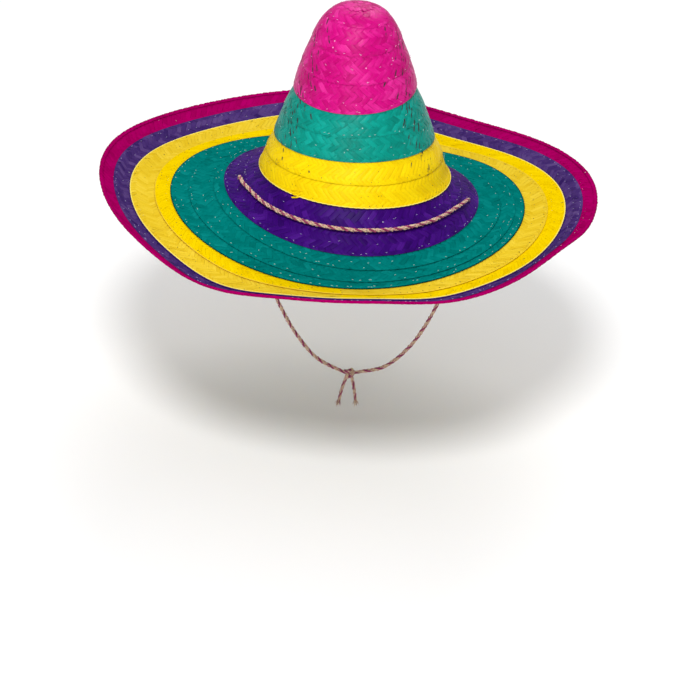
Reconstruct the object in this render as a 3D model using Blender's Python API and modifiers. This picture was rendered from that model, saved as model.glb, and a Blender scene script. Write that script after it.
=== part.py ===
"""Straw sombrero: braided palm-leaf courses lapped from the crown's tip to the rim, and a twisted chin cord.

Metres, +Z up along the crown. The wearer faces -Y. The origin is the centre of the head opening, where the
crown meets the brim.
"""

import math

import bmesh
import bpy
import numpy as np

MM = 0.001

# ---- driving dimensions -------------------------------------------------------------------------
STRAW = 1.4 * MM          # thickness of one braided course
CLEAR = 0.45 * MM         # air between two lapped courses
LAP = 4.5 * MM            # width of each course hidden under the one above it
STEP = STRAW + CLEAR      # how far a course rises to lie over the next one

# The hat's inside face as (radius, height) from the tip of the crown out to the rim.
SECTION = ((0, 188.6), (12, 187.3), (23.5, 183), (32, 175.5), (38.8, 164), (46, 146.5), (50.6, 134.5),
           (54.8, 121), (57.8, 107), (59.6, 101), (62.4, 95.5), (70, 77), (75.6, 59), (77.5, 52), (82, 43.5),
           (86.2, 33), (90.5, 18), (98, 8), (108, 1), (126, -10.5), (143, -16), (160, -19), (176, -20),
           (196, -19), (217, -15.5), (229, -9.5), (248, 0.5))
TIP_RADIUS = 12 * MM                                  # the closed button that the spiral starts from
# Lower edges of the crown's courses as (height, rise towards +X, rise towards +Y).
PINK_CROWN_EDGES = ((179, 2, -2.5), (157, 0, -4), (133, -1, -5.5), (107.6, -1.8, -7.1))
TEAL_CROWN_EDGES = ((82, -0.8, -1.8), (54.8, 0.2, 3.6))
YELLOW_CROWN_EDGES = ((36, 1, 2), (15.5, 2.5, 2))
GROOVE_RADIUS = 108 * MM                              # where the crown's purple course meets the brim
# Outer edges of the brim courses as (radius, how far the edge's circle sits towards -X).
PURPLE_INNER = (126 * MM, 0)
TEAL_EDGES = ((143.5 * MM, 7.5 * MM), (163 * MM, 4 * MM), (176 * MM, 0))
YELLOW_EDGES = ((195.5 * MM, 3.5 * MM), (217 * MM, 0))
PURPLE_OUTER = (233.5 * MM, 0)
RIM_RADIUS = 246.5 * MM

# The brim's shape off a plain turned one, as (radius, sides-up saddle, lean towards -X, lean towards +Y,
# four-lobed ripple), and how far the brim sits towards +X from the crown's axis.
SWAY = ((0, 0, 0, 0, 0), (95, 0, 0, 0, 0), (126, 5, -4, -2.5, 0), (176, 7, 1, -1.5, 0), (217, 3.2, 2.5, 1.5, 3.2),
        (229, 4.2, 2.5, 0.8, 4.4), (248, 4.2, 0.6, 0.7, 3.4))
BRIM_SHIFT = 4 * MM
# Where handling has bent the brim up or down: (degrees from +X, degrees that it spreads, rise at the rim, and the
# radii where it starts and where it is all there).
DENTS = ((59, 11, -11.5, 174, 228), (85, 13, -5.5, 174, 228), (114, 9, -5.5, 174, 228), (146, 9, 10, 214, 246),
         (243, 15, -7.5, 130, 215))
CROWN_LEAN = 0.036                                    # the crown's slope towards +X, as sideways over up
LEAN_FROM, LEAN_FULL = 5 * MM, 60 * MM                # heights where it starts and where it is all there

HEM_STRAW = 1.2 * MM      # the folded edge strip
HEM_OVER = 3 * MM         # its width on top of the brim
HEM_UNDER = 12 * MM       # and its width underneath

CORD_RADIUS = 2.3 * MM
HOLE_RADIUS = 4.7 * MM    # each of the two holes that the chin cord goes down through
HOLES = {"cord_hole_left": (112.6 * MM, 13.8 * MM), "cord_hole_right": (-116.4 * MM, 13.8 * MM)}
PIVOT = (0, 10 * MM, -15 * MM)     # on the line through both cords below the brim, where the loop swings
# The cord's line over the back of the crown, from the wearer's left hole to the right one.
CROWN_ROUTE = ((112.4, 10, -12.2), (112.4, 10.2, -5.5), (112.4, 11.4, 0.2), (112.2, 14.4, 5.4),
               (111.6, 19.1, 9.1), (110.4, 25, 10.4), (107.8, 33.5, 10.2), (102, 44, 9.5), (82, 75, 7.5),
               (53, 97, 5.3), (18.5, 109, 4), (-18, 109, 3.5), (-53, 97.5, 3.5), (-82, 75.5, 4.2),
               (-103.5, 45, 4.9), (-110.6, 33, 4.9), (-113.8, 25, 4.3), (-115.6, 19.1, 2.8), (-116.2, 14.4, -1.2),
               (-116.4, 11.2, -6.4), (-116.4, 10, -12.2))
# The two free lengths, each from its pivot down to the knot.
LEFT_ROUTE = ((112.4, 10, -15), (110.6, 10, -23), (102.5, 10, -43.5), (91, 10, -74), (78, 10, -106.5),
              (63.5, 10, -138), (45.5, 10, -168.3), (22, 10, -194.3), (-3.4, 10, -206.6))
RIGHT_ROUTE = ((-116.4, 10, -15), (-115.8, 10, -24), (-112.2, 10, -45), (-106, 10, -76), (-98, 10, -109),
               (-86, 10, -142.2), (-69, 10, -173.4), (-44, 10, -198.4), (-16.9, 10, -206.6))
CORD_POINT_GAP = 10 * MM
KNOT = (-10, 10, -208)
KNOT_RADIUS = 6.2 * MM
TAIL_LENGTH = 34 * MM
TAIL_SPREAD = math.radians(13)

SIDES = 44                # flats round each course

COLOURS = {
    "pink_palm": (0.79, 0.0, 0.24), "teal_palm": (0.0, 0.30, 0.22), "yellow_palm": (1.0, 0.70, 0.0),
    "purple_palm": (0.06, 0.005, 0.30), "dull_purple_palm": (0.10, 0.04, 0.22),
    "twisted_cord": (0.62, 0.33, 0.36),
}


# ---- curves through a few points ----------------------------------------------------------------
def smooth(points, gap):
    """Points along a smooth curve through these ones, about `gap` apart."""
    points = np.array(points, float) * MM
    chords = np.linalg.norm(np.diff(points, axis=0), axis=1)
    slopes = np.diff(points, axis=0) / chords[:, None]
    tangents = np.vstack([slopes[:1], slopes[:-1] * chords[1:, None] + slopes[1:] * chords[:-1, None], slopes[-1:]])
    tangents[1:-1] /= (chords[1:] + chords[:-1])[:, None]
    line = []
    for i, chord in enumerate(chords):
        for t in np.arange(0, 1, 1 / max(3, math.ceil(chord / gap))):
            line.append((2 * t ** 3 - 3 * t ** 2 + 1) * points[i] + (3 * t ** 2 - 2 * t ** 3) * points[i + 1]
                        + chord * ((t ** 3 - 2 * t ** 2 + t) * tangents[i] + (t ** 3 - t ** 2) * tangents[i + 1]))
    return np.array(line + [points[-1]])


# ---- the hat's surface --------------------------------------------------------------------------
LINE = smooth(SECTION, 1 * MM)
RUN = np.concatenate([[0], np.cumsum(np.hypot(*np.diff(LINE, axis=0).T))])
TANGENTS = np.gradient(LINE, RUN, axis=0)
TANGENTS[0] = (1, 0)


def run_at_radius(radius):
    """Distance along the section from the tip to this radius."""
    return float(np.interp(radius, LINE[:, 0], RUN))


def run_at_height(height):
    """Distance along the section from the tip to this height on the crown."""
    return float(np.interp(-height, -LINE[:, 1], RUN))


def dent(radius, angle):
    """How far the brim is bent up at this radius and angle."""
    total = 0
    for place, spread, rise, start, full in DENTS:
        share = min(max((radius / MM - start) / (full - start), 0), 1)
        away = 1 - math.cos(angle - math.radians(place))
        total += rise * MM * share * share * (3 - 2 * share) * math.exp(-away / math.radians(spread) ** 2)
    return total


def surface(run, rise, angle):
    """The point `run` along the section and `rise` off it outwards, at this angle from +X."""
    radius, height = (np.interp(run, RUN, LINE[:, k]) for k in (0, 1))
    across, up = (np.interp(run, RUN, TANGENTS[:, k]) for k in (0, 1))
    size = math.hypot(across, up)
    lean = CROWN_LEAN * min(max((height - LEAN_FROM) / (LEAN_FULL - LEAN_FROM), 0), 1)
    radius, height = radius - rise * up / size, height + rise * across / size
    table = np.array(SWAY, float) * MM
    saddle, lean_x, lean_y, ripple = (np.interp(radius, table[:, 0], table[:, k]) for k in range(1, 5))
    height += (saddle * math.cos(2 * angle) - lean_x * math.cos(angle) + lean_y * math.sin(angle)
               + ripple * math.cos(4 * angle) + dent(radius, angle))
    share = min(max((radius - GROOVE_RADIUS) / (TEAL_EDGES[-1][0] - GROOVE_RADIUS), 0), 1)
    shift = BRIM_SHIFT * share * share * (3 - 2 * share)
    x, y = radius * math.cos(angle), radius * math.sin(angle)
    return (x + lean * height + shift, y, height - lean * x)


def edge_run(edge, angle):
    """Distance along the section to a course's edge, given as a plain run, a brim pair or a crown triple."""
    if not isinstance(edge, tuple):
        return edge
    if len(edge) == 2:
        return run_at_radius(edge[0] - edge[1] * math.cos(angle))
    height, left, back = (part * MM for part in edge)
    return run_at_height(height + left * math.cos(angle) + back * math.sin(angle))


# ---- pieces -------------------------------------------------------------------------------------
def material(name):
    found = bpy.data.materials.get(name)
    if not found:
        found = bpy.data.materials.new(name)
        found.use_nodes = True
        shader = found.node_tree.nodes["Principled BSDF"]
        shader.inputs["Base Color"].default_value = (*COLOURS[name], 1)
        shader.inputs["Roughness"].default_value = 0.45
        found.diffuse_color = (*COLOURS[name], 1)
    return found


def spun_band(name, profile, sides, paint, thickness, side_of, from_pole=False):
    """A band spun flat, then laid on the hat: profile(angle) gives each row's (run, rise)."""
    first = 0 if from_pole else 1
    band = bmesh.new()
    rows = [band.verts.new((first + k, 0, 0)) for k in range(len(profile(0)))]
    edges = [band.edges.new(pair) for pair in zip(rows, rows[1:])]
    bmesh.ops.spin(band, geom=rows + edges, axis=(0, 0, 1), cent=(0, 0, 0), steps=sides, angle=2 * math.pi)
    bmesh.ops.remove_doubles(band, verts=band.verts, dist=0.01 * MM)
    band.normal_update()
    if next(iter(band.faces)).normal.z < 0:
        bmesh.ops.reverse_faces(band, faces=band.faces)
    for vert in band.verts:
        angle = math.atan2(vert.co.y, vert.co.x)
        vert.co = surface(*profile(angle)[round(vert.co.xy.length) - first], angle)
    mesh = bpy.data.meshes.new(name)
    band.to_mesh(mesh)
    band.free()
    mesh.shade_smooth()
    mesh.set_sharp_from_angle(angle=math.radians(50))
    mesh.materials.append(material(paint))
    made = bpy.data.objects.new(name, mesh)
    hat.objects.link(made)
    wall = made.modifiers.new("wall", "SOLIDIFY")
    wall.thickness, wall.offset, wall.use_even_offset = thickness, side_of, True
    return made


def course(name, inner, outer, paint, sides, middles=0):
    """One turn of braid, tucked under the turn above it and lying over the turn below it."""
    def profile(angle):
        a, b = edge_run(inner, angle), edge_run(outer, angle)
        runs = [a - LAP, *np.linspace(a, b - LAP, middles + 2), b]
        return [(s, STEP * min(max((s - a) / (b - LAP - a), 0), 1)) for s in runs]
    return spun_band(name, profile, sides, paint, STRAW, 1)


def crown_tip(edge):
    """The closed button at the tip, over the first turn."""
    def profile(angle):
        return [(share * edge, STEP) for share in (0, 0.4, 0.7, 1)]
    return spun_band("crown_tip", profile, SIDES // 2, "pink_palm", STRAW, 1, from_pole=True)


def brim_pink(inner, edge):
    """The last turn of braid, which lies flat out to the rim."""
    def profile(angle):
        a = edge_run(inner, angle)
        return [(a - LAP, 0), (a, 0), ((a + edge) / 2, 0), (edge, 0)]
    return spun_band("brim_pink", profile, SIDES, "pink_palm", STRAW, 1)


def brim_hem(edge):
    """The strip folded over the rim: short on top, longer underneath."""
    middle, bend = STRAW / 2, STRAW / 2 + CLEAR
    turns = np.linspace(-math.pi / 2, math.pi / 2, 5)
    section = [(edge - HEM_UNDER, middle - bend)]
    section += [(edge + CLEAR + bend * math.cos(t), middle + bend * math.sin(t)) for t in turns]
    section += [(edge - HEM_OVER, middle + bend)]
    return spun_band("brim_hem", lambda angle: section, SIDES, "pink_palm", HEM_STRAW, -1)


def cord(name, route, ends=0):
    """A round cord along a route. `ends` of its first points, set back from the start, round its end off."""
    line = smooth(route, CORD_POINT_GAP)
    back = (line[0] - line[1]) / np.linalg.norm(line[0] - line[1])
    tilts = np.linspace(math.radians(15), math.radians(65), ends)
    points = [*(line[0] + back * CORD_RADIUS * math.cos(t) for t in tilts), *line]
    curve = bpy.data.curves.new(name, "CURVE")
    curve.dimensions, curve.bevel_depth, curve.bevel_resolution = "3D", CORD_RADIUS, 2
    curve.use_fill_caps = True
    spline = curve.splines.new("POLY")
    spline.points.add(len(points) - 1)
    for spot, place in zip(spline.points, points):
        spot.co = (*place, 1)
    for spot, tilt in zip(spline.points, tilts):
        spot.radius = math.sin(tilt)
    curve.materials.append(material("twisted_cord"))
    made = bpy.data.objects.new(name, curve)
    hat.objects.link(made)
    return made


def moved_to(obj, collection):
    for group in list(obj.users_collection):
        group.objects.unlink(obj)
    collection.objects.link(obj)
    return obj


def cut_or_join(target, tool, operation):
    tool.display_type, tool.hide_render = "WIRE", True
    moved_to(tool, cutters)
    change = target.modifiers.new(tool.name, "BOOLEAN")
    change.operation, change.object, change.solver = operation, tool, "EXACT"


def cord_hole(target, name, x, y):
    """A hole through the straw for the chin cord."""
    bpy.ops.mesh.primitive_cylinder_add(vertices=16, radius=HOLE_RADIUS, depth=60 * MM, location=(x, y, 0))
    bpy.context.object.name = name
    cut_or_join(target, bpy.context.object, "DIFFERENCE")


def chin_knot():
    """The knot at the bottom of the loop, with the cord's two loose ends."""
    place = np.array(KNOT) * MM
    bpy.ops.mesh.primitive_uv_sphere_add(segments=12, ring_count=8, radius=KNOT_RADIUS, location=place)
    knot = moved_to(bpy.context.object, hat)
    knot.name = "chin_knot"
    knot.data.materials.append(material("twisted_cord"))
    knot.data.shade_smooth()
    length = KNOT_RADIUS + TAIL_LENGTH
    for side, name in ((1, "tail_left"), (-1, "tail_right")):
        tilt = side * TAIL_SPREAD
        start = place + np.array((side * 1.5 * MM, side * 0.6 * MM, 0))
        middle = start + length / 2 * np.array((math.sin(tilt), 0, -math.cos(tilt)))
        bpy.ops.mesh.primitive_cone_add(vertices=8, radius1=0.6 * CORD_RADIUS, radius2=0.85 * CORD_RADIUS,
                                        depth=length, location=middle, rotation=(0, -tilt, 0))
        bpy.context.object.name = name
        cut_or_join(knot, bpy.context.object, "UNION")
    return knot


# ---- build --------------------------------------------------------------------------------------
for old in list(bpy.data.objects):
    bpy.data.objects.remove(old, do_unlink=True)
hat = bpy.data.collections.new("sombrero")
cutters = bpy.data.collections.new("cutters")
cutters.hide_render = True
bpy.context.scene.collection.children.link(hat)
bpy.context.scene.collection.children.link(cutters)

tip_run = run_at_radius(TIP_RADIUS)
crown_tip(tip_run)
inner = tip_run
for colour, edges in (("pink", PINK_CROWN_EDGES), ("teal", TEAL_CROWN_EDGES), ("yellow", YELLOW_CROWN_EDGES)):
    for number, outer in enumerate(edges, 1):
        course(f"crown_{colour}_{number}", inner, outer, f"{colour}_palm", SIDES, middles=colour == "pink")
        inner = outer
outer = run_at_radius(GROOVE_RADIUS)
course("crown_purple", inner, outer, "purple_palm", SIDES)
inner_purple = course("brim_purple_inner", outer, PURPLE_INNER, "purple_palm", SIDES)
inner = PURPLE_INNER
for colour, edges in (("teal", TEAL_EDGES), ("yellow", YELLOW_EDGES)):
    for number, outer in enumerate(edges, 1):
        course(f"brim_{colour}_{number}", inner, outer, f"{colour}_palm", SIDES)
        inner = outer
course("brim_purple_outer", inner, PURPLE_OUTER, "dull_purple_palm", SIDES)
rim = run_at_radius(RIM_RADIUS)
brim_pink(PURPLE_OUTER, rim)
brim_hem(rim)

for name, (x, y) in HOLES.items():
    cord_hole(inner_purple, name, x, y)
cord("cord_crown", CROWN_ROUTE)
hanging = [cord("chin_cord_left", LEFT_ROUTE, ends=3), cord("chin_cord_right", RIGHT_ROUTE, ends=3), chin_knot()]
swing = bpy.data.objects.new("chin_cord_pivot", None)
swing.location = PIVOT
hat.objects.link(swing)
bpy.context.view_layer.update()
for piece in hanging:
    piece.parent = swing
    piece.matrix_parent_inverse = swing.matrix_world.inverted()
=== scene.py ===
"""The looks of the straw sombrero: plaited palm leaf for every course, sewing stitches and a twisted cord."""
import math

import bpy
import numpy as np
from mathutils import Matrix, Vector


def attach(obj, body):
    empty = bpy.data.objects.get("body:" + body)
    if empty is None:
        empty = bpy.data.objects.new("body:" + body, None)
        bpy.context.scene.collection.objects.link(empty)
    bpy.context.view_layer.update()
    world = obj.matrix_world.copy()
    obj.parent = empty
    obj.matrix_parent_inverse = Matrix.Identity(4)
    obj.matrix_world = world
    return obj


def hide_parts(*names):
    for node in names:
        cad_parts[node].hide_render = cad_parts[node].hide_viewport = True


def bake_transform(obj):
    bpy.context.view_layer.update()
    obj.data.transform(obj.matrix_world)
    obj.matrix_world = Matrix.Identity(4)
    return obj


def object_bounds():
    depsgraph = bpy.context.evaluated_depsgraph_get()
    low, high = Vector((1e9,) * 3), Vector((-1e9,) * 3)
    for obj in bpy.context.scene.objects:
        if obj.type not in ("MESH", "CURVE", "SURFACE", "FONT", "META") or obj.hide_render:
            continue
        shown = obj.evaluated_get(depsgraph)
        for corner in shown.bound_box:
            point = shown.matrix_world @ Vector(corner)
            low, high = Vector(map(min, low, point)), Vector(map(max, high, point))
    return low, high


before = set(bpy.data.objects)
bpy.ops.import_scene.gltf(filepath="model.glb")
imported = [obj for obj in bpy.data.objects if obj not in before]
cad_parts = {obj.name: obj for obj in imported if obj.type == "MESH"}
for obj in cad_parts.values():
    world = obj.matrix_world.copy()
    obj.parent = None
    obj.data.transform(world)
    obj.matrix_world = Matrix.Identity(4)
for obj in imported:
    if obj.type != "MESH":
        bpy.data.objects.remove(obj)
cad_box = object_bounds()

MM = 0.001
RNG = np.random.default_rng(7)

# ---- the hat's shape, as the CAD has it -----------------------------------------------------------
LAP = 4.5 * MM                # how far each course is tucked in under the one inside it
# The hat's inside face in section, as (radius, height) in millimetres, from the tip of the crown to the rim.
SECTION = ((0, 188.6), (12, 187.3), (23.5, 183), (32, 175.5), (38.8, 164), (46, 146.5), (50.6, 134.5),
           (54.8, 121), (57.8, 107), (59.6, 101), (62.4, 95.5), (70, 77), (75.6, 59), (77.5, 52), (82, 43.5),
           (86.2, 33), (90.5, 18), (98, 8), (108, 1), (126, -10.5), (143, -16), (160, -19), (176, -20),
           (196, -19), (217, -15.5), (229, -9.5), (248, 0.5))
# How the brim departs from a turned shape, in millimetres: (radius, saddle, fall towards +X, rise towards +Y,
# and a ripple with four crests).
SWAY = ((0, 0, 0, 0, 0), (95, 0, 0, 0, 0), (126, 5, -4, -2.5, 0), (176, 7, 1, -1.5, 0),
        (217, 3.2, 2.5, 1.5, 3.2), (229, 4.2, 2.5, 0.8, 4.4), (248, 4.2, 0.6, 0.7, 3.4))
BRIM_SHIFT, SHIFT_FROM, SHIFT_FULL = 4 * MM, 108 * MM, 176 * MM   # the brim sits this far towards +X
# Where handling has bent the brim up or down: (degrees from +X, degrees that it spreads, rise at the rim,
# and the radii where it starts and where it is all there).
DENTS = ((59, 11, -11.5, 174, 228), (85, 13, -5.5, 174, 228), (114, 9, -5.5, 174, 228),
         (146, 9, 10, 214, 246), (243, 15, -7.5, 130, 215))
CROWN_LEAN, LEAN_FROM, LEAN_FULL = 0.036, 5 * MM, 60 * MM   # slope of its axis, and heights where it sets in
TIP_RADIUS, RIM_RADIUS = 12 * MM, 246.5 * MM
# Each course's outer edge: (height, rise towards +X, rise towards +Y) on the crown, (radius, offset) below it.
EDGES = (("crown_pink_1", (179, 2, -2.5)), ("crown_pink_2", (157, 0, -4)), ("crown_pink_3", (133, -1, -5.5)),
         ("crown_pink_4", (107.6, -1.8, -7.1)), ("crown_teal_1", (82, -0.8, -1.8)),
         ("crown_teal_2", (54.8, 0.2, 3.6)), ("crown_yellow_1", (36, 1, 2)),
         ("crown_yellow_2", (15.5, 2.5, 2)), ("crown_purple", (108, 0)),
         ("brim_purple_inner", (126, 0)), ("brim_teal_1", (143.5, 7.5)), ("brim_teal_2", (163, 4)),
         ("brim_teal_3", (176, 0)), ("brim_yellow_1", (195.5, 3.5)), ("brim_yellow_2", (217, 0)),
         ("brim_purple_outer", (233.5, 0)), ("brim_pink", (246.5, 0)))
HEM_OVER, HEM_UNDER, HEM_BEND = 3 * MM, 12 * MM, 0.75 * MM   # widths above and below the rim, and its fold
HEM_OFF = 0.3 * MM            # how far the folded strip stands off the straw inside it
FOLD_HEIGHT = 160 * MM        # the short fold at the crown's tip is above this
FOLD_START, FOLD_WAY, FOLD_LENGTH, FOLD_DEPTH = (3 * MM, -6 * MM), (-0.37, 0.93), 34 * MM, 1.5 * MM
FOLD_EDGE, FOLD_WIDTH = 1.1 * MM, 8 * MM   # how sharply it starts across, and how far it fades

# ---- the chin cord, as the CAD has it ---------------------------------------------------------------
CORD_RADIUS, CORD_PITCH = 2.3 * MM, 13 * MM   # the pitch is one whole turn of a ply
# The cords' middle lines, in millimetres.
CROWN_ROUTE = ((112.4, 10, -12.2), (112.4, 10.2, -5.5), (112.4, 11.4, 0.2), (112.2, 14.4, 5.4),
               (111.6, 19.1, 9.1), (110.4, 25, 10.4), (107.8, 33.5, 10.2), (102, 44, 9.5), (82, 75, 7.5),
               (53, 97, 5.3), (18.5, 109, 4), (-18, 109, 3.5), (-53, 97.5, 3.5), (-82, 75.5, 4.2),
               (-103.5, 45, 4.9), (-110.6, 33, 4.9), (-113.8, 25, 4.3), (-115.6, 19.1, 2.8),
               (-116.2, 14.4, -1.2), (-116.4, 11.2, -6.4), (-116.4, 10, -12.2))
LEFT_ROUTE = ((112.4, 10, -15), (110.6, 10, -23), (102.5, 10, -43.5), (91, 10, -74), (78, 10, -106.5),
              (63.5, 10, -138), (45.5, 10, -168.3), (22, 10, -194.3), (-3.4, 10, -206.6))
RIGHT_ROUTE = ((-116.4, 10, -15), (-115.8, 10, -24), (-112.2, 10, -45), (-106, 10, -76), (-98, 10, -109),
               (-86, 10, -142.2), (-69, 10, -173.4), (-44, 10, -198.4), (-16.9, 10, -206.6))
KNOT = np.array((-10, 10, -208)) * MM
TAIL_LENGTH, TAIL_SPREAD = 34 * MM, math.radians(13)
PLY_OFFSET, PLY_RADIUS = 1.05 * MM, 0.95 * MM   # each ply's middle from the cord's, and its core's radius
YARN_OFFSET, YARN_RADIUS, YARN_PITCH = 0.78 * MM, 0.40 * MM, 6.3 * MM
PLY_YARNS = ((1, 1, 2, 1, 1), (0, 0, 1, 0, 2), (0, 0, 0, 2, 0))   # which dye each yarn of each ply has
CORD_SIDE = (0.31, 0.9, 0.2)  # a direction that no cord runs along
# Where the crown cord is drawn thin: (distance from that end, how much, over what length).
LEFT_PINCH, RIGHT_PINCH = (14 * MM, 0.25, 6 * MM), (20 * MM, 0.6, 8 * MM)

# ---- the plait --------------------------------------------------------------------------------------
STRIP, FINE_STRIP = 5.0 * MM, 3.7 * MM   # widths of a palm strip, and of the finer yellow ones
ZONE, FINE_ZONE = 2, 4        # rows that one family of strips stays on top for
DIAGONAL = math.sqrt(2)       # the strips run at 45 degrees
CROSSING = 0.10 * MM          # how far strips rise and dip from the plait's middle
LEAF = 0.07 * MM              # half a strip's thickness
DOME = 0.05 * MM              # how far a strip's middle stands above its edges
OVERLAP = 1.05                # how wide a strip is for its place in the plait
GAPING = 0.10                 # how much narrower the strips look where the crown's plait has opened
LEAF_SECTION = ((-0.5, 0), (-0.44, 1), (0, 1.25), (0.44, 1), (0.5, 0), (0, -0.6))   # (of its width, of LEAF)
SAMPLES_A_ROW = 3             # points along a strip for each strip that it crosses
TILT = 0.050                  # how far strips lie off the flat, as a slope
FOLD_STEEP = 1.1              # how quickly strips change from over to under, for each row of a zone
MIDDLE = 1.2 * MM             # height of a pressed plait's middle over the hat's inside face
CLIMB = 1.25 * MM             # how far a course rises to lie over the next one
LOW_CLIMB = 0.55 * MM         # the same where the seam is a quiet one
PROUD_CLIMB = 2.3 * MM        # how far the crown's lowest yellow course stands off the purple
HIGH_CLIMB = 0.8 * PROUD_CLIMB   # and the brim's outer yellow course off the dull purple
# The courses that have such a seam.
QUIET_SEAMS = ("crown_pink_1", "crown_pink_2", "crown_pink_3", "crown_teal_1", "brim_purple_outer")

# Dyes as (deep, full, pale) linear colours, and how rough the leaf is. The pale colour is partly the leaf's
# own paler tone and partly painted sheen.
DYES = {
    "pink_palm": ((0.40, 0.0, 0.115), (0.56, 0.0, 0.185), (0.86, 0.045, 0.38), 0.34),
    "rim_pink": ((0.25, 0.0, 0.068), (0.335, 0.0, 0.095), (0.42, 0.0, 0.130), 0.55),
    "teal_palm": ((0.0, 0.155, 0.122), (0.0, 0.265, 0.210), (0.006, 0.41, 0.34), 0.36),
    "sea_palm": ((0.0, 0.115, 0.105), (0.0, 0.166, 0.152), (0.004, 0.235, 0.22), 0.5),
    # teal_edge_shade is a near-black teal that paints the shade on the brim teal's folded edge against the
    # yellow.
    "teal_edge_shade": ((0.0, 0.018, 0.018), (0.0, 0.040, 0.038), (0.0, 0.075, 0.070), 0.6),
    "yellow_palm": ((0.78, 0.51, 0.0), (0.89, 0.63, 0.0), (0.95, 0.71, 0.003), 0.42),
    "brim_yellow": ((0.72, 0.46, 0.0), (0.80, 0.555, 0.0), (0.88, 0.63, 0.002), 0.5),
    "pale_yellow": ((0.64, 0.41, 0.010), (0.72, 0.50, 0.022), (0.83, 0.61, 0.055), 0.5),
    # yellow_edge_highlight is a paler yellow that paints the highlight along the yellow courses' folded edges.
    "yellow_edge_highlight": ((0.90, 0.70, 0.05), (0.97, 0.80, 0.13), (1.0, 0.87, 0.24), 0.5),
    "purple_palm": ((0.017, 0.0, 0.080), (0.034, 0.0, 0.145), (0.085, 0.010, 0.27), 0.40),
    "dull_purple_palm": ((0.022, 0.008, 0.085), (0.058, 0.026, 0.150), (0.14, 0.085, 0.25), 0.6),
}
GLOSS = {"pink_palm": 0.11, "teal_palm": 0.11, "yellow_palm": 0.08, "purple_palm": 0.06}   # the rest are matt
# Flecks: on the yellow dyes they are dark specks; on all others they are pale painted glints, with most of
# them on GLINTED_DYES.
GLINTED_DYES, FLECKS, FEW_FLECKS = ("pink_palm", "teal_palm"), 0.95, 0.982   # the share of spots without a fleck
YELLOW_FLECK = (0.42, 0.24, 0.0)


def smooth(points, gap):
    """Points along a smooth curve through these ones, about `gap` apart."""
    points = np.array(points, float) * MM
    chords = np.linalg.norm(np.diff(points, axis=0), axis=1)
    slopes = np.diff(points, axis=0) / chords[:, None]
    inner = slopes[:-1] * chords[1:, None] + slopes[1:] * chords[:-1, None]
    tangents = np.vstack([slopes[:1], inner, slopes[-1:]])
    tangents[1:-1] /= (chords[1:] + chords[:-1])[:, None]
    line = []
    for i, chord in enumerate(chords):
        for t in np.arange(0, 1, 1 / max(3, math.ceil(chord / gap))):
            at = (2 * t ** 3 - 3 * t ** 2 + 1) * points[i] + (3 * t ** 2 - 2 * t ** 3) * points[i + 1]
            pull = (t ** 3 - 2 * t ** 2 + t) * tangents[i] + (t ** 3 - t ** 2) * tangents[i + 1]
            line.append(at + chord * pull)
    return np.array(line + [points[-1]])


LINE = smooth(SECTION, 1 * MM)
RUN = np.concatenate([[0], np.cumsum(np.hypot(*np.diff(LINE, axis=0).T))])
TANGENTS = np.gradient(LINE, RUN, axis=0)
TANGENTS[0] = (1, 0)
SWAY_TABLE = np.array(SWAY, float) * MM


def eased(share):
    """A share from 0 to 1, made to start and end gently."""
    return share * share * (3 - 2 * share)


def run_at_radius(radius):
    """Distance along the section from the tip, at this radius."""
    return np.interp(radius, LINE[:, 0], RUN)


def run_at_height(height):
    """The same at this height, which holds on the crown only."""
    return np.interp(-height, -LINE[:, 1], RUN)


def surface(run, rise, angle):
    """Points `run` along the hat's section and `rise` off it outwards, at these angles from +X."""
    radius, height = np.interp(run, RUN, LINE[:, 0]), np.interp(run, RUN, LINE[:, 1])
    across, up = np.interp(run, RUN, TANGENTS[:, 0]), np.interp(run, RUN, TANGENTS[:, 1])
    size = np.hypot(across, up)
    lean = CROWN_LEAN * np.clip((height - LEAN_FROM) / (LEAN_FULL - LEAN_FROM), 0, 1)
    radius, height = radius - rise * up / size, height + rise * across / size
    at, *sways = SWAY_TABLE.T
    saddle, fall_x, rise_y, ripple = (np.interp(radius, at, sway) for sway in sways)
    height = height + (saddle * np.cos(2 * angle) - fall_x * np.cos(angle) + rise_y * np.sin(angle)
                       + ripple * np.cos(4 * angle) + dent(radius, angle))
    shift = BRIM_SHIFT * eased(np.clip((radius - SHIFT_FROM) / (SHIFT_FULL - SHIFT_FROM), 0, 1))
    x, y = radius * np.cos(angle), radius * np.sin(angle)
    return np.stack([x + lean * height + shift, y, height - lean * x - crease(x, y, height)], -1)


def dent(radius, angle):
    """How far the brim is bent up at this radius and angle."""
    total = 0
    for place, spread, rise, start, full in DENTS:
        share = np.clip((radius / MM - start) / (full - start), 0, 1)
        away = 1 - np.cos(angle - math.radians(place))
        total = total + rise * MM * eased(share) * np.exp(-away / math.radians(spread) ** 2)
    return total


def crease(x, y, height):
    """How far the straw is pressed in beside the short fold at the crown's tip."""
    along = (x - FOLD_START[0]) * FOLD_WAY[0] + (y - FOLD_START[1]) * FOLD_WAY[1]
    beside = -(x - FOLD_START[0]) * FOLD_WAY[1] + (y - FOLD_START[1]) * FOLD_WAY[0]
    ends = np.clip(along / (7 * MM), 0, 1) * np.clip((FOLD_LENGTH - along) / (9 * MM), 0, 1)
    pressed = np.clip(beside / FOLD_EDGE + 0.5, 0, 1) * np.exp(-np.maximum(beside, 0) / FOLD_WIDTH)
    return FOLD_DEPTH * ends * pressed * (height > FOLD_HEIGHT)


def edge_run(edge, angle):
    """Distance along the section to a course's edge, given as a plain run, a brim pair or a crown triple."""
    if not isinstance(edge, tuple):
        return np.full(np.shape(angle), float(edge))
    if len(edge) == 2:
        return run_at_radius((edge[0] - edge[1] * np.cos(angle)) * MM)
    return run_at_height((edge[0] + edge[1] * np.cos(angle) + edge[2] * np.sin(angle)) * MM)


def mean_radius(run):
    """Radius at the mean of these distances along the section."""
    return float(np.interp(np.mean(run), RUN, LINE[:, 0]))


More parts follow.
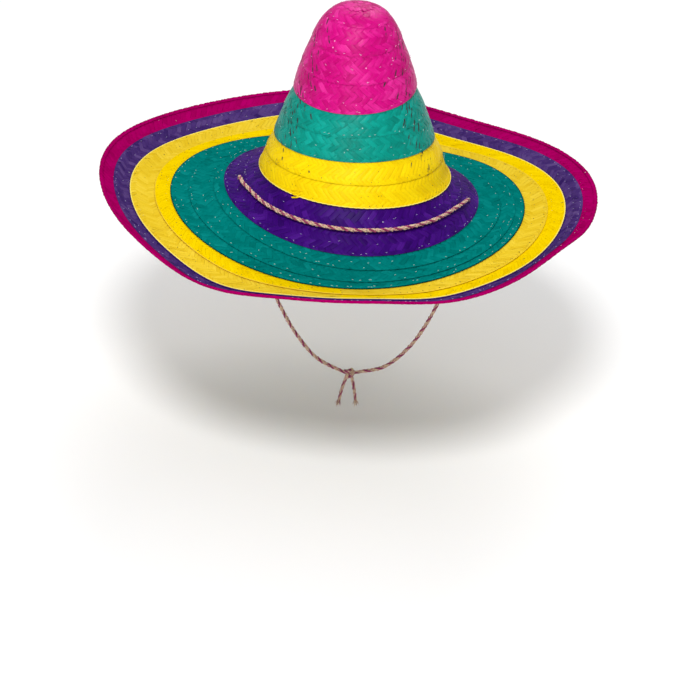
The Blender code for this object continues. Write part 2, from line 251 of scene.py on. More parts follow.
# ---- materials ---------------------------------------------------------------------------------------
class Nodes:
    """A material's nodes, made in the order they are wired."""

    def __init__(self, name):
        self.material = bpy.data.materials.new(name)
        self.material.use_nodes = True
        self.tree = self.material.node_tree
        self.shader = self.tree.nodes["Principled BSDF"]

    def add(self, kind, settings=(), **inputs):
        node = self.tree.nodes.new("ShaderNode" + kind)
        for key, value in dict(settings).items():
            setattr(node, key, value)
        for key, value in inputs.items():
            self.feed(node.inputs[int(key[1:]) if key[1:].isdigit() else key.replace("_", " ")], value)
        return node

    def feed(self, socket, value):
        if isinstance(value, bpy.types.NodeSocket):
            self.tree.links.new(value, socket)
        else:
            socket.default_value = value

    def math(self, operation, a, b=0.0, *, clamp=False):
        return self.add("Math", {"operation": operation, "use_clamp": clamp}, i0=a, i1=b).outputs[0]

    def ramp(self, fac, *stops):
        node = self.add("ValToRGB", Fac=fac)
        while len(node.color_ramp.elements) < len(stops):
            node.color_ramp.elements.new(0.5)
        for element, (place, colour) in zip(node.color_ramp.elements, stops):
            element.position, element.color = place, (*colour, 1)
        return node.outputs["Color"]

    def mix(self, fac, a, b, blend="MIX"):
        node = self.add("Mix", {"data_type": "RGBA", "blend_type": blend})
        self.feed(node.inputs[0], fac)
        for socket, value in zip((node.inputs[6], node.inputs[7]), (a, b)):
            self.feed(socket, (*value, 1) if isinstance(value, tuple) else value)
        return node.outputs[2]


def palm(name):
    """Dyed palm leaf: fibres along each strip, its own shade for each strip, larger blotches that are partly
    dye and partly painted sheen, and small flecks, which are painted glints, with dark specks on the yellows.
    """
    deep, full, pale, rough = DYES[name]
    n = Nodes(name)
    leaf = n.add("Attribute", {"attribute_name": "leaf"}).outputs["Vector"]
    shade = n.add("Attribute", {"attribute_name": "shade"}).outputs["Fac"]
    fibres_at = n.add("VectorMath", {"operation": "MULTIPLY"}, i0=leaf, i1=(0.05, 2.6, 1.0)).outputs[0]
    fibres = n.add("TexNoise", Vector=fibres_at, Scale=1.0, Detail=3.0, Roughness=0.65).outputs["Fac"]
    patch_at = n.add("TexCoord").outputs["Object"]
    dye_and_sheen_patches = n.add("TexNoise", Vector=patch_at, Scale=38.0, Detail=3.0, Roughness=0.6).outputs["Fac"]
    fac = n.math("ADD", n.math("MULTIPLY", fibres, 0.42), n.math("MULTIPLY", shade, 0.40))
    fac = n.math("ADD", fac, n.math("MULTIPLY", dye_and_sheen_patches, 0.32), clamp=True)
    colour = n.ramp(fac, (0.30, deep), (0.57, full), (0.94, pale))
    ends = n.add("TexNoise", Vector=leaf, Scale=0.16, Detail=1.0).outputs["Fac"]
    colour = n.mix(n.math("MULTIPLY", n.math("SUBTRACT", ends, 0.5, clamp=True), 0.6), colour, pale)
    # Small flecks: pale painted glints, except on the yellows, where they are dark specks.
    flecks = n.add("TexVoronoi", {"feature": "F1"}, Vector=patch_at, Scale=230.0).outputs
    rare = n.add("TexWhiteNoise", {"noise_dimensions": "3D"}, Vector=flecks["Position"]).outputs["Value"]
    near = n.math("LESS_THAN", flecks["Distance"], 0.16)
    chosen = n.math("MULTIPLY", near, n.math("GREATER_THAN", rare, FLECKS if name in GLINTED_DYES else FEW_FLECKS))
    fleck = YELLOW_FLECK if "yellow" in name else tuple(0.45 + 0.5 * c for c in pale)
    n.feed(n.shader.inputs["Base Color"], n.mix(n.math("MULTIPLY", chosen, 0.75), colour, fleck))
    rough_at = n.math("ADD", n.math("MULTIPLY", fibres, 0.30), n.math("MULTIPLY", dye_and_sheen_patches, 0.12))
    n.feed(n.shader.inputs["Roughness"], n.math("ADD", rough_at, rough - 0.2, clamp=True))
    bump = n.add("Bump", Strength=0.35, Distance=0.0003, Height=fibres)
    n.feed(n.shader.inputs["Normal"], bump.outputs[0])
    n.shader.inputs["Specular IOR Level"].default_value = GLOSS.get(name, 0)
    return n.material


def yarn(name, deep, full):
    """One ply of the cord: soft spun fibre, whose colour is mixed by noise with a much darker one that is
    partly the yarn's own tone and partly painted shade.
    """
    n = Nodes(name)
    ply = n.add("Attribute", {"attribute_name": "leaf"}).outputs["Vector"]
    at = n.add("VectorMath", {"operation": "MULTIPLY"}, i0=ply, i1=(0.9, 1.3, 1.0)).outputs[0]
    fibres = n.add("TexNoise", Vector=at, Scale=1.0, Detail=4.0, Roughness=0.7).outputs["Fac"]
    n.feed(n.shader.inputs["Base Color"], n.ramp(fibres, (0.38, deep), (0.56, full)))
    n.shader.inputs["Roughness"].default_value = 0.72
    n.shader.inputs["Sheen Weight"].default_value = 0.25
    n.shader.inputs["Sheen Roughness"].default_value = 0.5
    bump = n.add("Bump", Strength=0.5, Distance=0.0003, Height=fibres)
    n.feed(n.shader.inputs["Normal"], bump.outputs[0])
    return n.material


# ---- meshes --------------------------------------------------------------------------------------------
def mesh_piece(name, points, faces, materials, leaf, shade, kinds=None):
    """A smooth-shaded mesh with its leaf coordinates (millimetres) and one shade a point."""
    mesh = bpy.data.meshes.new(name)
    mesh.vertices.add(len(points))
    mesh.vertices.foreach_set("co", np.ascontiguousarray(points, np.float32).ravel())
    mesh.loops.add(faces.size)
    mesh.polygons.add(len(faces))
    mesh.loops.foreach_set("vertex_index", np.ascontiguousarray(faces, np.int32).ravel())
    mesh.polygons.foreach_set("loop_start", np.arange(len(faces), dtype=np.int32) * faces.shape[1])
    for material in materials:
        mesh.materials.append(material)
    if kinds is not None:
        mesh.polygons.foreach_set("material_index", np.ascontiguousarray(kinds, np.int32))
    mesh.attributes.new("leaf", "FLOAT_VECTOR", "POINT").data.foreach_set(
        "vector", np.ascontiguousarray(leaf, np.float32).ravel())
    mesh.attributes.new("shade", "FLOAT", "POINT").data.foreach_set(
        "value", np.ascontiguousarray(shade, np.float32))
    mesh.update(calc_edges=True)
    mesh.validate()
    mesh.shade_smooth()
    made = bpy.data.objects.new(name, mesh)
    bpy.context.scene.collection.objects.link(made)
    return made


def grid_faces(count, rows, columns):
    """Faces of `count` tubes, each of `rows` rings of `columns` points, without end caps."""
    k, i, j = np.meshgrid(np.arange(count), np.arange(rows - 1), np.arange(columns), indexing="ij")
    base, across = k * rows * columns, (j + 1) % columns
    return np.stack([base + i * columns + j, base + i * columns + across,
                     base + (i + 1) * columns + across, base + (i + 1) * columns + j], -1).reshape(-1, 4)


def weave(width, radius, place, zone, swaps=False, strip=STRIP, gaping=0.0):
    """Points, faces, leaf coordinates and shades of one ring of plait.

    Two families of strips cross at about 45 degrees. Over each zone of rows one family lies on top, and at
    the visible edge the upper strips fold round to the underside. place(share, beyond, height, angle) says
    where a point is: its share of the width, how far past the edge, and how far off the plait's middle.
    """
    rows = max(5, round(width / (strip / DIAGONAL)))
    turns = max(8, round(2 * math.pi * radius / (strip * DIAGONAL)))
    limit = rows / 2
    fold = math.pi * CROSSING / (width / limit)
    along = np.linspace(-0.25, limit + fold + 0.2, rows * SAMPLES_A_ROW + 4)
    ring = np.array(LEAF_SECTION)
    cells = math.ceil(rows / zone) + 3
    points, leaf, shade = [], [], []
    for side in (1, -1):
        upper = side * (-1 if swaps else 1)
        number, t = np.arange(turns)[:, None, None], along[None, :, None]
        around = np.cos((np.arange(turns) + side * limit / 2) * 2 * math.pi / turns)
        wide = OVERLAP + 0.03 * RNG.standard_normal(turns) - gaping * RNG.random(turns) * around ** 6
        wide = wide[:, None, None] / DIAGONAL
        wander = 0.025 * RNG.standard_normal(turns)[:, None, None]
        tilts, cell_shade = TILT * RNG.standard_normal((turns, cells)), RNG.random((turns, cells))
        own, level = RNG.random(turns)[:, None, None], 0.04 * MM * RNG.standard_normal(turns)[:, None, None]
        q, lift = ring[None, None, :, 0] * wide, ring[None, None, :, 1]
        u = number + side * (t + wander + q / DIAGONAL)
        v = t + wander - q / DIAGONAL
        row = (t + wander) * 2
        above = upper * np.clip(np.sin(math.pi * row / zone) * zone * FOLD_STEEP, -1, 1)
        on_top = upper * math.sin(math.pi * (rows - 0.4) / zone) > 0
        in_cell = np.clip(row / zone + 0.5, 0, cells - 1.001)
        low = in_cell.astype(int)
        high = low + 1 - (low + 1 >= cells)
        slope = tilts[number, low] * (1 - in_cell + low) + tilts[number, high] * (in_cell - low)
        near = np.clip(v / 0.3, 0, 1)
        if not on_top:
            near = near * (np.clip((limit - v) / 0.3, 0, 1) * 0.6 + 0.4)
        height = CROSSING * above * near + lift * LEAF
        height = height + np.where(lift > 0, DOME * (1 - (2 * ring[None, None, :, 0]) ** 2), 0)
        height = height + slope * q * strip * DIAGONAL + level
        past = np.clip((v - limit) / fold, 0, 1)
        if on_top:
            beyond = np.where(v > limit, CROSSING * 1.2 * np.sin(math.pi * past), 0)
            height = np.where(v > limit, height * np.cos(math.pi * past), height)
        else:
            beyond = 0 * v
            height = np.where(v > limit, -CROSSING * 0.8, height)
        angle = (u % turns) * 2 * math.pi / turns
        points.append(place(np.clip(v, 0, limit) / limit, beyond, height, angle).reshape(-1, 3))
        length, own_place = t * strip / MM * DIAGONAL, number * 7.3 + side * 911
        leaf.append(np.stack(np.broadcast_arrays(length, q * strip / MM * 1.4, own_place), -1).reshape(-1, 3))
        mixed = 0.5 * own + 0.5 * cell_shade[number, np.clip(row / zone + 1, 0, cells - 1).astype(int)]
        shade.append(np.broadcast_to(mixed, v.shape).ravel())
    faces = grid_faces(2 * turns, len(along), len(ring))
    return np.concatenate(points), faces, np.concatenate(leaf), np.concatenate(shade)


def course_rise(run, start, end, climb):
    """A course lies low where it is tucked in, and climbs to lie over the next one."""
    a = start + LAP
    return MIDDLE + climb * np.clip((run - a) / (end - LAP - a), 0, 1)


def climb_of(node):
    """How far a course climbs. The last one has none to lie over."""
    special = {"brim_pink": 0, "crown_yellow_2": PROUD_CLIMB, "brim_yellow_2": HIGH_CLIMB}
    return special.get(node, LOW_CLIMB if node in QUIET_SEAMS else CLIMB)


def dressed(piece, node, body="hat"):
    """The piece stands for that CAD node, in its finish, and moves with that body."""
    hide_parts(node)
    if body:
        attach(piece, body)
    return piece


def course(node, inner, outer, dye, zone, swaps=False):
    """The plait of one course, in place of its plain CAD ring."""
    angles = np.linspace(0, 2 * math.pi, 90, endpoint=False)
    a, b = edge_run(inner, angles) - LAP, edge_run(outer, angles)

    def place(share, beyond, height, angle):
        start, end = edge_run(inner, angle) - LAP, edge_run(outer, angle)
        run = start + (end - start) * share + beyond
        return surface(run, course_rise(run, start, end, climb_of(node)) + height, angle)

    strip, gaping = FINE_STRIP if zone == FINE_ZONE else STRIP, GAPING if len(outer) == 3 else 0.0
    woven = weave(float(np.mean(b - a)), mean_radius((a + b) / 2), place, zone, swaps, strip, gaping)
    kinds, dyes = None, [dye]
    if node in SPLICED:
        middle_x = woven[0][woven[1]].mean(1)[:, 0]
        kinds, dyes = (middle_x < BRIM_SHIFT).astype(int), SPLICED[node]
    piece = mesh_piece("plait_" + node, woven[0], woven[1], [PALMS[name] for name in dyes], *woven[2:], kinds)
    return dressed(piece, node)


def hem():
    """The narrow plait folded over the rim."""
    edge, bend = float(run_at_radius(RIM_RADIUS)), HEM_BEND
    turns = np.linspace(-math.pi / 2, math.pi / 2, 9)
    section = np.array([(edge - HEM_UNDER, -bend),
                        *((edge + bend * math.cos(t), bend * math.sin(t)) for t in turns),
                        (edge - HEM_OVER, bend)])
    walk = np.concatenate([[0], np.cumsum(np.hypot(*np.diff(section, axis=0).T))])
    facing = [(0, -1), *((math.cos(t), math.sin(t)) for t in turns), (0, 1)]

    def place(share, beyond, height, angle):
        at = share * walk[-1] + beyond
        run, rise = (np.interp(at, walk, section[:, k]) for k in (0, 1))
        out, up = (np.interp(at, walk, [f[k] for f in facing]) for k in (0, 1))
        return surface(run + out * (height + HEM_OFF), rise + MIDDLE + up * (height + HEM_OFF), angle)

    woven = weave(float(walk[-1]), RIM_RADIUS, place, ZONE)
    dressed(mesh_piece("plait_brim_hem", woven[0], woven[1], [PALMS["rim_pink"]], *woven[2:]), "brim_hem")


def tip():
    """The woven button that closes the crown: strips over and under each other both ways."""
    reach, gap = TIP_RADIUS + 1.5 * MM, STRIP * 0.98
    ring = np.array(LEAF_SECTION)
    spots, leaf, shade, count, steps = [], [], [], 0, 22
    for way in (0, 1):
        for k in range(-3, 4):
            middle = k * gap
            half = math.sqrt(max(reach ** 2 - middle ** 2, 0))
            if half < 3 * MM:
                continue
            t = np.linspace(-half, half, steps)[:, None]
            side = middle + ring[None, :, 0] * STRIP
            lift = CROSSING * (-1) ** (k + way) * np.cos(math.pi * t / gap)
            height = np.broadcast_to(lift + ring[None, :, 1] * LEAF, (steps, len(ring)))
            x, y = (t + 0 * side, side + 0 * t) if way == 0 else (side + 0 * t, t + 0 * side)
            run, angle = np.hypot(x, y), np.arctan2(y, x) + 0.5
            spots.append(surface(run, MIDDLE + LOW_CLIMB + height, angle).reshape(-1, 3))
            own_place = np.broadcast_arrays(t / MM, ring[None, :, 0] * 6, k * 3.1 + way * 57)
            leaf.append(np.stack(own_place, -1).reshape(-1, 3))
            shade.append(np.full(steps * len(ring), RNG.random()))
            count += 1
    faces = grid_faces(count, steps, len(ring))
    dressed(mesh_piece("plait_crown_tip", np.concatenate(spots), faces, [PALMS["pink_palm"]],
                       np.concatenate(leaf), np.concatenate(shade)), "crown_tip")


# ---- the chin cord -----------------------------------------------------------------------------------
def carried(line):
    """Two directions square to the line at each point, turned as little as possible from one to the next."""
    ahead = np.gradient(line, axis=0)
    ahead /= np.linalg.norm(ahead, axis=1)[:, None]
    side = np.array(CORD_SIDE)
    sides = []
    for way in ahead:
        side = side - way * (side @ way)
        side /= np.linalg.norm(side)
        sides.append(side)
    sides = np.array(sides)
    return sides, np.cross(ahead, sides)


def even(line, gap):
    """The line's points respaced evenly, and how far along it each one is."""
    walk = np.concatenate([[0], np.cumsum(np.linalg.norm(np.diff(line, axis=0), axis=1))])
    at = np.linspace(0, walk[-1], math.ceil(walk[-1] / gap) + 1)
    return np.stack([np.interp(at, walk, line[:, k]) for k in range(3)], -1), at


def tube(line, radius, sides):
    """Points of a round tube along a line, one ring a point. The radius may change along it."""
    a, b = carried(line)
    turn = np.arange(sides) * 2 * math.pi / sides
    radius = np.broadcast_to(radius, len(line))[:, None, None]
    return line[:, None, :] + radius * (np.cos(turn)[None, :, None] * a[:, None, :]
                                        + np.sin(turn)[None, :, None] * b[:, None, :])


class Bundle:
    """Tubes gathered into one mesh."""

    def __init__(self):
        self.points, self.faces, self.leaf, self.shade, self.kinds, self.total = [], [], [], [], [], 0

    def add(self, rings, kind, shade=0.5, offset=0.0):
        rows, columns = rings.shape[:2]
        walk = np.concatenate([[0], np.cumsum(np.linalg.norm(np.diff(rings.mean(1), axis=0), axis=1))]) / MM
        around = np.arange(columns) / columns
        quads = grid_faces(1, rows, columns)
        self.points.append(rings.reshape(-1, 3))
        self.faces.append(quads + self.total)
        self.kinds.append(np.full(len(quads), kind))
        own_place = np.broadcast_arrays(walk[:, None], around[None, :] * 8, offset)
        self.leaf.append(np.stack(own_place, -1).reshape(-1, 3))
        self.shade.append(np.full(rows * columns, shade))
        self.total += rows * columns

    def made(self, name, materials):
        return mesh_piece(name, np.concatenate(self.points), np.concatenate(self.faces), materials,
                          np.concatenate(self.leaf), np.concatenate(self.shade), np.concatenate(self.kinds))


def tapered(line, radius):
    """A radius along the line that closes to almost nothing at both ends."""
    at = np.linspace(0, 1, len(line))
    ends = np.minimum(at, 1 - at) * len(line) / 1.5
    return radius * np.sqrt(np.clip(1 - (1 - np.clip(ends, 0, 1)) ** 2, 0.0004, 1))


def twisted(bundle, line, phase=0.0, scale=0.9, pinches=()):
    """Three plies wound round a line, one magenta and two straw-coloured, of finer yarns and stray fibres."""
    line, at = even(line, 0.9 * MM)
    a, b = carried(line)
    scale = scale * (1 + 0.05 * np.sin(at / (5.3 * MM)) + 0.04 * np.sin(at / (2.9 * MM) + 1))
    for place, depth, reach in pinches:
        scale = scale * (1 - depth * np.exp(-((at - place) / reach) ** 2))
    around = scale[:, None]
    for ply, yarns in enumerate(PLY_YARNS):
        turn = phase + at * 2 * math.pi / CORD_PITCH + ply * 2 * math.pi / 3
        turn = turn + 0.12 * np.sin(at / (9 * MM) + ply)
        middle = line + PLY_OFFSET * around * (np.cos(turn)[:, None] * a + np.sin(turn)[:, None] * b)
        sides, ups = carried(middle)
        core = tube(middle, tapered(line, PLY_RADIUS * scale), 7)
        bundle.add(core, 1 if ply == 0 else 0, RNG.random(), ply * 31.0)
        for number, kind in enumerate(yarns):
            coil = -at * 2 * math.pi / YARN_PITCH + number * 2 * math.pi / len(yarns)
            wobble = 1 + 0.16 * np.sin(at / (2.3 * MM) + number * 1.7 + ply)
            wobble = wobble + 0.10 * RNG.standard_normal(len(at))
            thread = middle + YARN_OFFSET * around * (np.cos(coil) * wobble)[:, None] * sides
            thread += YARN_OFFSET * around * (np.sin(coil) * wobble)[:, None] * ups
            thick = YARN_RADIUS * scale * (1 + 0.22 * RNG.standard_normal(len(at)).clip(-1.5, 1.5))
            bundle.add(tube(thread, tapered(line, thick), 5), kind, RNG.random(), ply * 31.0 + number)
    for k in range(int(at[-1] / (1.8 * MM))):
        spot, turn = RNG.integers(2, len(line) - 3), RNG.random() * 2 * math.pi
        out = math.cos(turn) * a[spot] + math.sin(turn) * b[spot]
        share = np.linspace(0, 1, 5)[:, None]
        ahead = (line[spot + 1] - line[spot - 1]) / np.linalg.norm(line[spot + 1] - line[spot - 1])
        away = out * (1.7 + 1.1 * share * RNG.random())
        hair = line[spot] + (away + ahead * share * (2.2 * RNG.random() + 0.8)) * MM
        bundle.add(tube(hair, tapered(hair, 0.10 * MM), 4), 0 if k % 3 else 1, RNG.random(), k * 2.0)


def cords():
    """The cord over the back of the crown, and the loop that hangs from it and swings."""
    # Each yarn's first colour is partly a darker tone of its dye and partly painted shade.
    yarns = [yarn("straw_yarn", (0.20, 0.07, 0.06), (0.86, 0.66, 0.44)),
             yarn("magenta_yarn", (0.06, 0.002, 0.02), (0.36, 0.012, 0.11)),
             yarn("rose_yarn", (0.14, 0.01, 0.05), (0.60, 0.10, 0.24))]
    over = smooth(CROWN_ROUTE, 1.5 * MM)
    start, end = np.array(LEFT_ROUTE[0]) * MM, np.array(RIGHT_ROUTE[0]) * MM
    over = np.vstack([start[None], over, end[None]])
    bundle = Bundle()
    near, (far, *thinned) = LEFT_PINCH, RIGHT_PINCH
    twisted(bundle, over, pinches=(near, (measured(over) - far, *thinned)))
    crown_cord = dressed(bundle.made("cord_over_crown", yarns), "cord_crown")
    knot = tied(yarns)
    for side, route, pieces in (("left", LEFT_ROUTE, [knot]), ("right", RIGHT_ROUTE, [])):
        line = smooth(route, 1.5 * MM)
        line = np.vstack([line, (KNOT * 0.6 + line[-1] * 0.4)[None]])
        bundle = Bundle()
        twisted(bundle, line, phase=1.1)
        hanging = dressed(bundle.made("chin_cord_" + side + "_twist", yarns), "chin_cord_" + side, body=None)
        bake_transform(hanging)


def measured(line):
    """How long the line is."""
    return float(np.linalg.norm(np.diff(line, axis=0), axis=1).sum())


def tied(yarns):
    """An overhand knot in the cord's two ends, with its frayed tails."""
    bundle = Bundle()
    t = np.linspace(0, 2 * math.pi, 90)
    loop = np.stack([np.sin(t) + 2 * np.sin(2 * t), -np.sin(3 * t) * 1.3, np.cos(t) - 2 * np.cos(2 * t)], -1)
    twisted(bundle, KNOT + loop * 1.55 * MM, scale=0.88)
    for side in (1, -1):
        way = np.array((math.sin(TAIL_SPREAD) * side, 0.12, -math.cos(TAIL_SPREAD)))
        root = KNOT + np.array((side * 1.5, side * 1.2, 0)) * MM
        share = np.linspace(0, 1, 20)[:, None]
        sway = np.array((0.8 * side, 1, 0)) * np.sin(share * 3) * 1.2 * MM
        tail = root + way * share * (TAIL_LENGTH - 4 * MM) + sway
        twisted(bundle, tail, phase=side, scale=0.80)
        for strand in range(26):
            angle, lean = RNG.random() * 2 * math.pi, RNG.random() * 0.45
            out = np.array((math.cos(angle), math.sin(angle), 0))
            share = np.linspace(0, 1, 7)[:, None]
            reach = (6 + 4.5 * RNG.random()) * MM
            fibre = (tail[-1] - way * 3 * MM + out * 1.1 * MM * RNG.random()
                     + way * share * reach + out * lean * share ** 2 * reach)
            bundle.add(tube(fibre, tapered(fibre, 0.2 * MM), 5), strand % 3 == 0, RNG.random(), strand * 5.0)
    return dressed(bundle.made("chin_knot_tied", yarns), "chin_knot", body="chin_loop")


# ---- sewing ------------------------------------------------------------------------------------------
def stitches():
    """Pale bits of sewing thread near the courses' seams, and on the yellow ones dark ovals that paint the
    shade in needle holes.
    """
    looks = {name: plain_thread("thread_" + name, colour) for name, colour in THREADS.items()}
    # The needle hole marks' dark brown is painted shade.
    hole = plain_thread("needle_hole", (0.10, 0.06, 0.01))
    for name in ("sewing_thread", "needle_hole_shade"):
        bundle = Bundle()
        before = float(run_at_radius(TIP_RADIUS))
        for node, outer in EDGES[:-1]:
            yellow = "yellow" in node
            kind = 0 if yellow else list(THREADS).index(node.split("_")[1] + "_palm")
            if (name == "needle_hole_shade") == yellow:
                for depth in (2.6, 0.45):
                    sew(bundle, before, outer, depth, kind, yellow, climb_of(node))
            before = outer
        made = bundle.made(name, [hole] if name == "needle_hole_shade" else [looks[k] for k in THREADS])
        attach(made, "hat")


def sew(bundle, inner, outer, depth, kind, hole, climb):
    """One ring of stitches, at a depth in millimetres from the edge or, under 1, a share of the width."""
    at_edge = depth > 1
    radius = mean_radius(edge_run(outer, np.linspace(0, 2 * math.pi, 60)))
    count = int(2 * math.pi * radius / STITCH_GAP)
    for k in range(count):
        if RNG.random() < (HIDDEN_AT_EDGE if at_edge else HIDDEN_INSIDE):
            continue
        angle = (k + 0.35 * RNG.standard_normal()) * 2 * math.pi / count
        start, end = float(edge_run(inner, angle)), float(edge_run(outer, angle))
        run = end - depth * MM if at_edge else start + (end - start) * depth
        run += 0.5 * MM * RNG.standard_normal()
        half = (0.45 if hole else 0.9 + 0.3 * RNG.random()) * MM / radius
        slant = 0.35 * MM * RNG.standard_normal()
        share = np.linspace(-1, 1, 5)
        off = 0.36 if hole else 0.42 + 0.10 * (1 - share ** 2)
        rise = course_rise(run, start - LAP, end, climb) + off * MM
        line = surface(run + slant * share, rise, angle + half * share)
        bundle.add(tube(line, tapered(line, (0.30 if hole else 0.26) * MM), 6), kind, RNG.random(), k * 3.0)


def plain_thread(name, colour):
    """A fine-grained matt material in one hue."""
    n = Nodes(name)
    at = n.add("TexCoord").outputs["Object"]
    grain = n.add("TexNoise", Vector=at, Scale=900.0, Detail=2.0).outputs["Fac"]
    dark = tuple(0.7 * c for c in colour)
    n.feed(n.shader.inputs["Base Color"], n.ramp(grain, (0.35, dark), (0.65, colour)))
    n.shader.inputs["Roughness"].default_value = 0.6
    return n.material


def whiskers():
    """The yellow plait's ragged cut end on the crown, and a few leaf ends that have worked loose."""
    bundle = Bundle()
    end = float(edge_run(dict(EDGES)["crown_yellow_2"], 1.0))
    for k in range(16):
        angle = math.radians(CUT_END_AT + 1.2 * RNG.standard_normal())
        share = np.linspace(0, 1, 6)
        run = end - (9 * RNG.random() - 1.5) * MM + share * (1.5 + 2 * RNG.random()) * MM
        rise = MIDDLE + PROUD_CLIMB + 0.3 * MM + share * (0.2 + 0.5 * RNG.random()) * MM
        line = surface(run, rise, angle - share * (4 + 5 * RNG.random()) * MM / CUT_END_RADIUS)
        bundle.add(tube(line, tapered(line, 0.55 * MM), 6), 0, RNG.random(), k * 11.0)
    for k in range(60):
        node, edge = EDGES[RNG.integers(0, len(EDGES) - 1)]
        kind = ["yellow", "pink", "teal", "purple"].index(node.split("_")[1])
        angle = RNG.random() * 2 * math.pi
        end = float(edge_run(edge, angle))
        share = np.linspace(0, 1, 6)
        run = end + (-1 + share * (1 + 2.2 * RNG.random())) * MM
        rise = MIDDLE + CLIMB + (0.1 + share * (0.5 * RNG.random())) * MM
        line = surface(run, rise, angle + share * 0.02 * RNG.standard_normal())
        bundle.add(tube(line, tapered(line, 0.16 * MM), 5), kind, RNG.random(), k * 5.0)
    dyes = ("yellow_palm", "pink_palm", "teal_palm", "purple_palm")
    made = bundle.made("loose_leaf_ends", [PALMS[k] for k in dyes])
    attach(made, "hat")


def painted_gap_shade():
    """Dark slits of painted shade laid over the plait where the crown's plait has been pulled open, at four
    places round it. They stand for the dark inside seen between strips.
    """
    bundle = Bundle()
    before = float(run_at_radius(TIP_RADIUS))
    section = np.array(GAP_SECTION)
    share = np.linspace(-1, 1, 7)[:, None]
    for node, outer in EDGES[:8]:
        amount = GAPS_A_CORNER.get(node, 0)
        for quarter, corner in enumerate(math.radians(degrees) for degrees in GAP_PLACES):
            for k in range(amount):
                angle = corner + 0.16 * RNG.standard_normal()
                start, end = float(edge_run(before, angle)), float(edge_run(outer, angle))
                run = start + (end - start) * (k + 0.35 + 0.3 * RNG.random()) / amount
                radius = float(np.interp(run, RUN, LINE[:, 0]))
                way = 1 if quarter in (0, 2) else -1
                half, wide = (2.4 + 2.0 * RNG.random()) * MM, (0.50 + 0.35 * RNG.random()) * MM
                across = wide * np.sqrt(np.clip(1 - share ** 2, 0.001, 1)) * section[None, :, 0]
                down, aside = half * 0.86 * share - 0.5 * across, way * (half * 0.5 * share + 0.86 * across)
                rise = course_rise(run + down, start - LAP, end, climb_of(node)) + section[None, :, 1] * MM
                bundle.add(surface(run + down, rise, angle + aside / radius), 0, RNG.random(), k * 3.0)
        before = outer
    # The slits' dark matt colour is painted shade.
    made = bundle.made("painted_gap_shade", [plain_thread("shadowed_gap", (0.030, 0.012, 0.018))])
    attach(made, "hat")


def edge_rolls():
    """Folded edges: bright ones on the yellow courses, whose paler yellow is a painted highlight, purple ones
    in their shade, and a dark one on the teal, whose near-black teal is painted shade.
    """
    bundle = Bundle()
    edges = dict(EDGES)
    for number, (node, kind, drop) in enumerate(ROLLS):
        angles = np.linspace(0, 2 * math.pi, 1400 if node.startswith("brim") else 700)
        edge = edge_run(edges[node], angles)
        teeth = np.abs(((angles * mean_radius(edge) / (FINE_STRIP * DIAGONAL)) % 1) - 0.5) * 0.7 * MM
        line = surface(edge + 0.25 * MM - teeth, MIDDLE + climb_of(node) - drop * MM, angles)
        # A high shade puts each roll near its dye's pale colour, which on the yellow edges adds to the painted
        # highlight.
        bundle.add(tube(line, 0.5 * MM, 6), kind, 0.8, number * 3.0)
    made = bundle.made("folded_edges", [PALMS[k] for k in ROLL_DYES])
    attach(made, "hat")


# ---- the hat -----------------------------------------------------------------------------------------
# The brim's two yellow turns are of two batches of dye, which change places where the strip was pieced:
# (on the +X side, on the -X side).
SPLICED = {"brim_yellow_1": ("brim_yellow", "pale_yellow"), "brim_yellow_2": ("pale_yellow", "brim_yellow")}
CUT_END_AT, CUT_END_RADIUS = 57, 92 * MM   # where the yellow plait ends: degrees from +X, radius
# The slits of painted shade lie at these places.
GAP_PLACES = (33, 147, 213, 327)           # degrees from +X where the crown's plait has been pulled open
GAP_SECTION = ((-1, 0.30), (-0.5, 0.22), (0, 0.20), (0.5, 0.22), (1, 0.30), (0, -0.2))   # (of its width, mm)
GAPS_A_CORNER = {"crown_pink_2": 4, "crown_pink_3": 8, "crown_pink_4": 9, "crown_teal_1": 12,
                 "crown_teal_2": 10, "crown_yellow_1": 6}
BRIM_DYES = {"brim_pink": "rim_pink", "brim_purple_outer": "dull_purple_palm", "brim_yellow_2": "pale_yellow",
             "brim_yellow_1": "pale_yellow", "brim_teal_1": "sea_palm", "brim_teal_2": "sea_palm",
             "brim_teal_3": "sea_palm"}
# Folded edges as (course, which of ROLL_DYES, millimetres below the course's middle).
ROLLS = (("crown_yellow_2", 0, 0.05), ("crown_yellow_2", 3, 1.0), ("brim_teal_3", 2, 0.05),
         ("brim_yellow_1", 1, 0.05), ("brim_yellow_2", 0, 0.05), ("brim_yellow_2", 3, 1.0))
# The first of these is a painted highlight and the third is painted shade; the other two are the courses' own
# dyes.
ROLL_DYES = ("yellow_edge_highlight", "pale_yellow", "teal_edge_shade", "purple_palm")
THREADS = {"pink_palm": (0.86, 0.42, 0.62), "teal_palm": (0.42, 0.68, 0.62),
           "purple_palm": (0.40, 0.34, 0.58)}
STITCH_GAP, HIDDEN_AT_EDGE, HIDDEN_INSIDE = 8 * MM, 0.5, 0.8   # and the shares of stitches that can't be seen
cords()
PALMS = {name: palm(name) for name in DYES}
tip()
before = float(run_at_radius(TIP_RADIUS))
for number, (node, edge) in enumerate(EDGES):
    dye = BRIM_DYES.get(node, node.split("_")[1] + "_palm")
    course(node, before, edge, dye, zone=FINE_ZONE if "yellow" in node else ZONE, swaps=number % 2 == 1)
    before = edge
hem()
edge_rolls()
painted_gap_shade()
stitches()
whiskers()

# ---- stage, light and camera -------------------------------------------------------------------------
FLOOR = cad_box[0][2] - 4 * MM
# The camera's height and roll, and how far below and beside the hat it is aimed.
UP, LEAN, BELOW, ASIDE = (math.radians(degrees) for degrees in (25, 4, 3.3689, -0.0619))
DISTANCE, LENS, SENSOR = 2.5, 128.6, 36.0   # metres, then millimetres
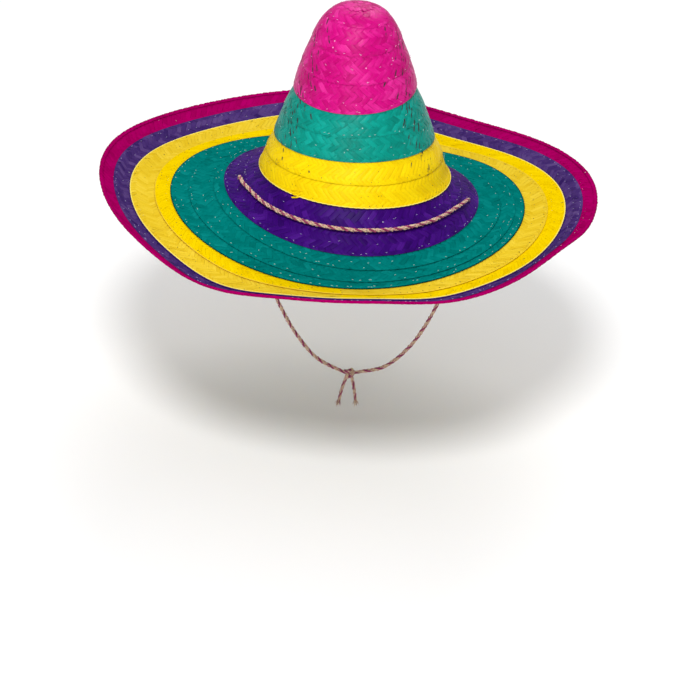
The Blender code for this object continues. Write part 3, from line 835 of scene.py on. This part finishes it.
# Each light as (name, place, what it is aimed at, diameter, watts).
LIGHTS = (("key", (0.2, 1.9, 2.4), (0, 0, 0), 0.8, 62), ("fill", (0.4, 2.5, 0.8), (0, 0, 0), 1.6, 14),
          ("back", (-0.3, -2.0, 2.0), (0, -1.2, -0.25), 1.8, 30))
WORLD_LIGHT = 0.44


def floor():
    """A plain pale floor that the hanging cord clears."""
    bpy.ops.mesh.primitive_plane_add(size=14, location=(0, 0, FLOOR))
    plane = bpy.context.object
    plane.name = "floor"
    n = Nodes("floor")
    n.shader.inputs["Base Color"].default_value = (0.97, 0.97, 0.97, 1)
    n.shader.inputs["Roughness"].default_value = 0.9
    plane.data.materials.append(n.material)


def area_light(name, place, aim, size, watts):
    """A round soft light at a place, turned to what it lights."""
    light = bpy.data.lights.new(name, "AREA")
    light.shape, light.size, light.energy = "DISK", size, watts
    lamp = bpy.data.objects.new(name, light)
    lamp.location = place
    lamp.rotation_euler = (Vector(place) - Vector(aim)).to_track_quat("Z", "Y").to_euler()
    bpy.context.scene.collection.objects.link(lamp)


def turned(a, b, angle):
    """Two square directions, turned by this angle from the first towards the second."""
    return a * math.cos(angle) + b * math.sin(angle), b * math.cos(angle) - a * math.sin(angle)


def camera():
    """The photographer's view: behind the wearer and above, with the hat leaning a little to the right."""
    right, top = Vector((-1, 0, 0)), Vector((0, -math.sin(UP), math.cos(UP)))
    ahead = -Vector((0, math.cos(UP), math.sin(UP)))
    place = Vector((BRIM_SHIFT, 0, -20 * MM)) - ahead * DISTANCE
    right, top = turned(right, top, LEAN)
    ahead, top = turned(ahead, top, -BELOW)
    ahead, right = turned(ahead, right, -ASIDE)
    made = bpy.data.objects.new("camera", bpy.data.cameras.new("camera"))
    made.data.lens, made.data.sensor_width = LENS, SENSOR
    made.matrix_world = Matrix.Translation(place) @ Matrix((right, top, -ahead)).transposed().to_4x4()
    bpy.context.scene.collection.objects.link(made)
    bpy.context.scene.camera = made


floor()
world = bpy.data.worlds.new("studio")
world.use_nodes = True
world.node_tree.nodes["Background"].inputs["Color"].default_value = (1, 1, 1, 1)
world.node_tree.nodes["Background"].inputs["Strength"].default_value = WORLD_LIGHT
bpy.context.scene.world = world
bpy.context.scene.view_settings.view_transform = "Standard"
for light in LIGHTS:
    area_light(*light)
camera()
